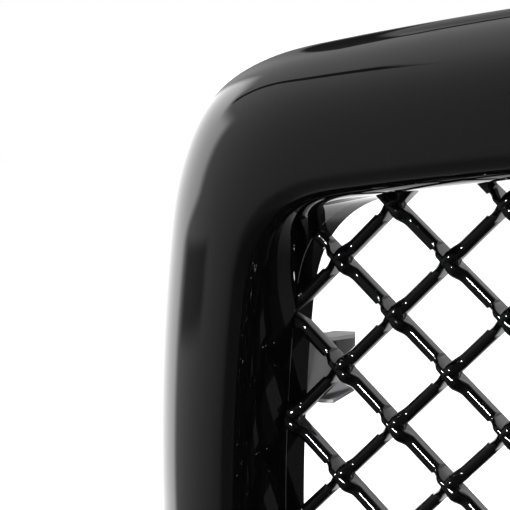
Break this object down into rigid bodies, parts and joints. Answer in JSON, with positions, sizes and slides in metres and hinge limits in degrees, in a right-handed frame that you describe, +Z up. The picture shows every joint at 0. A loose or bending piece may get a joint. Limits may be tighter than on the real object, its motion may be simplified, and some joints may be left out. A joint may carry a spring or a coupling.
{
  "type": "front grille",
  "caption": "Full-width vehicle front grille: a softly rounded gloss-black surround with a set-back diagonal mesh, side brackets and top fixing tabs.",
  "frame": {"origin": "centre of the four side bracket bolt holes, on the rear faces of the bracket feet", "axes": "+X right seen from the front, +Y to the rear along the bracket bolts (the front faces -Y), +Z up"},
  "size_m": [0.888, 0.105, 0.4524],
  "materials": {
    "surround_gloss": "gloss black moulded ABS",
    "mesh_gloss": "gloss black moulded ABS",
    "bracket_steel": "zinc-plated pressed steel sheet",
    "tab_steel": "black powder-coated steel",
    "screw_steel": "zinc-plated steel",
    "clip_steel": "phosphated spring steel",
    "grommet_rubber": "matt black moulded rubber",
    "seal_rubber": "matt black extruded rubber",
    "foam": "dark grey open-cell foam"
  },
  "bodies": {
    "root": {"surround_shell": "surround_gloss", "mesh_insert": "mesh_gloss", "side_bracket_upper_left": "bracket_steel", "side_bracket_upper_right": "bracket_steel", "side_bracket_lower_left": "bracket_steel", "side_bracket_lower_right": "bracket_steel", "top_tab_outer_left": "tab_steel", "top_tab_inner_left": "tab_steel", "top_tab_inner_right": "tab_steel", "top_tab_outer_right": "tab_steel", "insert_screws": "screw_steel", "bracket_screws": "screw_steel", "bracket_washers": "screw_steel", "tab_screws": "screw_steel", "tab_washers": "screw_steel", "lower_spring_clips": "clip_steel", "locating_grommet_left": "grommet_rubber", "locating_grommet_right": "grommet_rubber", "top_edge_seal": "seal_rubber", "side_foam_left": "foam", "side_foam_right": "foam", "lower_foam_strip": "foam"}
  },
  "joints": []
}
